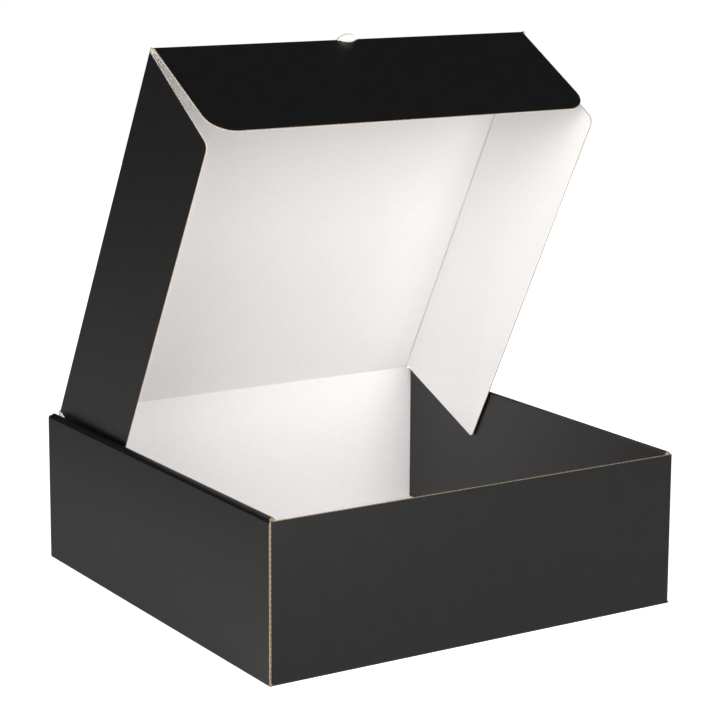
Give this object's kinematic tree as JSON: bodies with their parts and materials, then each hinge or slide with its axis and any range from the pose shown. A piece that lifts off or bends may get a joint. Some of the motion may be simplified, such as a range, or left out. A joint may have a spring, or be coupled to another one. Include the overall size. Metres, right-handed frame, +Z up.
{
  "type": "hamper box",
  "caption": "Square black corrugated gift box with rolled side walls and a hinged tuck-in lid with side flaps, white inside.",
  "frame": {"origin": "middle of the box's underside, on the surface it stands on", "axes": "+Z up, front wall towards -Y, lid hinge on the +Y side, +X to the right seen from the front"},
  "size_m": [0.3, 0.3, 0.3649],
  "materials": {
    "printed_board": "matt black print outside on E-flute corrugated board, plain white liner inside"
  },
  "bodies": {
    "tray": {"tray": "printed_board"},
    "lid": {"lid_panel": "printed_board"},
    "tuck_flap": {"lid_tuck_flap": "printed_board"},
    "left_flap": {"lid_side_flap_left": "printed_board"},
    "right_flap": {"lid_side_flap_right": "printed_board"}
  },
  "joints": [
    {"name": "lid_hinge", "type": "hinge", "parent": "tray", "child": "lid", "pos_m": [0, 0.15, 0.102], "axis": [-1, 0, 0], "range_deg": [-61.4, 118.6]},
    {"name": "tuck_crease", "type": "hinge", "parent": "lid", "child": "tuck_flap", "pos_m": [0, 0.00879, 0.36101], "axis": [1, 0, 0], "range_deg": [-91.4, 13.6]},
    {"name": "left_crease", "type": "hinge", "parent": "lid", "child": "left_flap", "pos_m": [-0.1404, 0.07799, 0.23074], "axis": [0, -0.4787, 0.878], "range_deg": [-0.5, 88]},
    {"name": "right_crease", "type": "hinge", "parent": "lid", "child": "right_flap", "pos_m": [0.1404, 0.07799, 0.23074], "axis": [0, 0.4787, -0.878], "range_deg": [-0.5, 88]}
  ]
}
